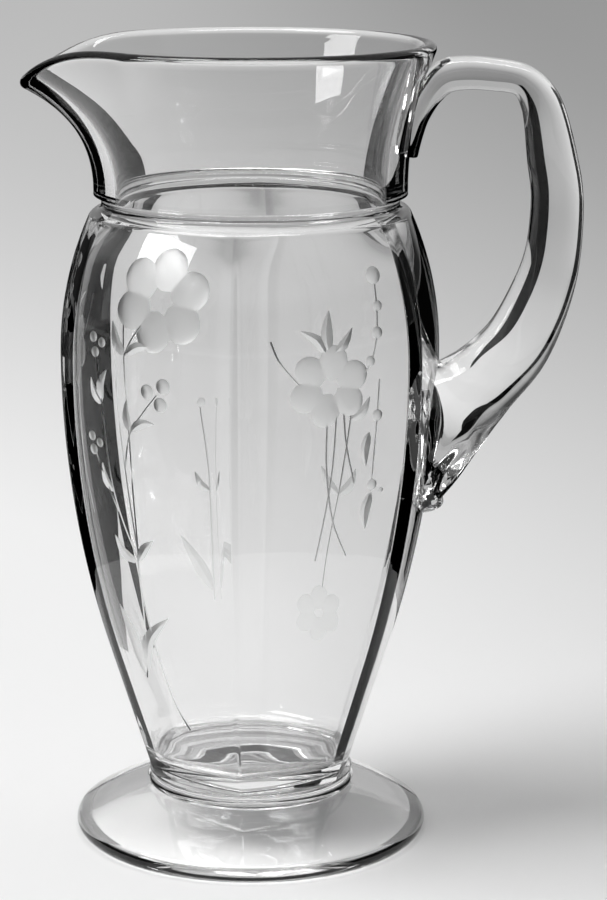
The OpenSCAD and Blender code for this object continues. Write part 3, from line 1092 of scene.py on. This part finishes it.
# %% [markdown]
# ## Window and room
# A broad soft sun from the upper left stands for the daylight and throws the soft shadow. A rectangular
# lamp stands for the window whose reflection lies on the shoulder, and a long strip overhead draws the
# highlights along the rim and the handle without lighting the paper. The room is the world. The paper
# is lit by it as a plain grey room, and glass sees dark walls, a paler backdrop behind the pitcher and
# a paler ceiling.

# %% Window and room
SUN_PLACE = (0.0, 0.0, 2.0)
SUN_WAY = (0.55, 0.15, -1.0)
SUN_POWER = 1.6
SUN_SPREAD = math.radians(35)
WINDOW_PLACE = (-1.61, -0.86, 0.99)
WINDOW_SIZE = (0.8, 0.5)
WINDOW_POWER = 12.6
STRIP_PLACE = (0.0, -0.35, 1.6)
STRIP_SIZE = (1.6, 0.3)
STRIP_POWER = 14
LAMP_AIM = Vector((0, 0, 0.18))
TO_THE_BACK = (-math.sin(CAMERA_TURN), math.cos(CAMERA_TURN), 0.0)
WALL_SPAN = (-0.5, 0.5)
WALL_TONES = (0.08, 0.06)
BACKDROP_SPAN = (0.86, 0.93)
BACKDROP_TONE = 0.45
CEILING_SPAN = (0.2, 0.3)
CEILING_TONE = 0.5


def new_lamp(name, kind, place, way):
    data = bpy.data.lights.new(name, kind)
    lamp = bpy.data.objects.new(name, data)
    lamp.location = place
    lamp.rotation_euler = Vector(way).to_track_quat("-Z", "Y").to_euler()
    bpy.context.scene.collection.objects.link(lamp)
    return data


def new_panel_lamp(name, place, size, power):
    """A rectangular lamp that faces the pitcher."""
    data = new_lamp(name, "AREA", place, LAMP_AIM - Vector(place))
    data.shape = "RECTANGLE"
    data.size, data.size_y = size
    data.energy = power
    return data


daylight = new_lamp("daylight", "SUN", SUN_PLACE, SUN_WAY)
daylight.energy = SUN_POWER
daylight.angle = SUN_SPREAD
window = new_panel_lamp("window", WINDOW_PLACE, WINDOW_SIZE, WINDOW_POWER)
strip = new_panel_lamp("strip", STRIP_PLACE, STRIP_SIZE, STRIP_POWER)
bpy.data.objects["strip"].visible_diffuse = False

world = bpy.data.worlds.new("room")
bpy.context.scene.world = world
world.use_nodes = True
room = world.node_tree
room.nodes.clear()
way = add_node(room, "ShaderNodeTexCoord").outputs["Generated"]
walls = mapped(room, dot(room, way, TO_THE_RIGHT), WALL_SPAN, WALL_TONES)
backdrop = mapped(room, dot(room, way, TO_THE_BACK), BACKDROP_SPAN, (walls, BACKDROP_TONE))
height = add_node(room, "ShaderNodeSeparateXYZ", {"Vector": way}).outputs["Z"]
room_tone = mapped(room, height, CEILING_SPAN, (backdrop, CEILING_TONE))
seen_in_glass = add_node(room, "ShaderNodeBackground", {"Color": room_tone})
seen_plainly = add_node(room, "ShaderNodeBackground", {"Color": linear("#B4B4B4")})
path = add_node(room, "ShaderNodeLightPath")
by_glass = calculated(room, "MAXIMUM", path.outputs["Is Glossy Ray"], path.outputs["Is Transmission Ray"])
both = add_node(room, "ShaderNodeMixShader", {
    "Fac": by_glass, 1: seen_plainly.outputs[0], 2: seen_in_glass.outputs[0]})
add_node(room, "ShaderNodeOutputWorld", {"Surface": both.outputs[0]})
print("lamps:", daylight.name, window.name, strip.name)

# %% [markdown]
# ## Black flags
# Clear glass on a pale field would nearly vanish. Photographers lay black cards just outside the
# picture, so that the edges of the glass, which bend light sideways, turn dark and draw its outline.
# The cards start beside the sight lines past the pitcher and end before they would darken the views
# from its other sides. Only light that comes through the glass or is mirrored in it meets them. A wide
# dark ring round the pitcher is met by mirrored light alone, and keeps the glare of the paper off the
# glass. Each card has a side, the turn where it ends, and stops of how far out it lies and how much
# room it leaves there beside the axis.

# %% Black flags
FLAG_LIFT = 0.0005
ARC_STEPS = 12
FLAGS = {"left": (-1, 34, [(0.16, 0.069), (0.7, 0.069), (0.85, 0.08)]),
         "left_back": (-1, 40, [(0.85, 0.08), (1.1, 0.1), (3.5, 0.1)]),
         "right": (1, 32, [(0.25, 0.09), (0.72, 0.1)]),
         "right_back": (1, 80, [(0.72, 0.1), (1.2, 0.115), (6.0, 0.115)])}
ROOM_FLOOR = (0.2, 4.0)


def make_flag_card():
    """Matt black card."""
    material, tree = new_material("black_card")
    card = add_node(tree, "ShaderNodeBsdfPrincipled",
                    {"Base Color": linear("#040404"), "Roughness": 1.0, "Specular IOR Level": 0.0})
    add_node(tree, "ShaderNodeOutputMaterial", {"Surface": card.outputs["BSDF"]})
    return material


def lay_card(bm, name):
    """Lays a black card on the paper that only glass can see."""
    card = stage_sheet(bm, name, flag_card)
    card.visible_camera = False
    card.visible_diffuse = False
    card.visible_shadow = False
    print(card.name, [round(x, 3) for x in card.dimensions[:2]])
    return card


flag_card = make_flag_card()
for side, (sign, turn, stops) in FLAGS.items():
    starts = [math.degrees(math.atan(clear * (1 / reach + 1 / CAMERA_REACH))) for reach, clear in stops]
    edge = arc((0, 0), stops[0][0], 90 - turn, 90 - starts[0], ARC_STEPS)
    edge += [at(reach, 0, 90 - start).xy for (reach, _), start in zip(stops[1:-1], starts[1:-1])]
    edge += arc((0, 0), stops[-1][0], 90 - starts[-1], 90 - turn, ARC_STEPS)
    flag_mesh = bmesh.new()
    flag_mesh.faces.new([flag_mesh.verts.new((sign * x, y, FLAG_LIFT)) for x, y in edge])
    bmesh.ops.rotate(flag_mesh, verts=flag_mesh.verts, matrix=Matrix.Rotation(CAMERA_TURN, 3, "Z"))
    lay_card(flag_mesh, f"black_flag_{side}")
ring_mesh = bmesh.new()
for reach in ROOM_FLOOR:
    bmesh.ops.create_circle(ring_mesh, segments=ROUND_SIDES, radius=reach)
bmesh.ops.bridge_loops(ring_mesh, edges=ring_mesh.edges)
bmesh.ops.translate(ring_mesh, verts=ring_mesh.verts, vec=(0, 0, FLAG_LIFT))
lay_card(ring_mesh, "dark_room_floor").visible_transmission = False

# %% [markdown]
# ## Light under the foot
# Real glass lets the light through to the table. The renderer would leave the paper under the foot
# black, and a black patch would show in the glass, so the foot and the wafer throw no shadow of their
# own, and the paper under them carries a painted shadow instead. The bowl, the collar and the handle
# still do.

# %% Light under the foot
for piece in (foot, wafer):
    piece.visible_shadow = False
print("no shadow:", foot.name, wafer.name)
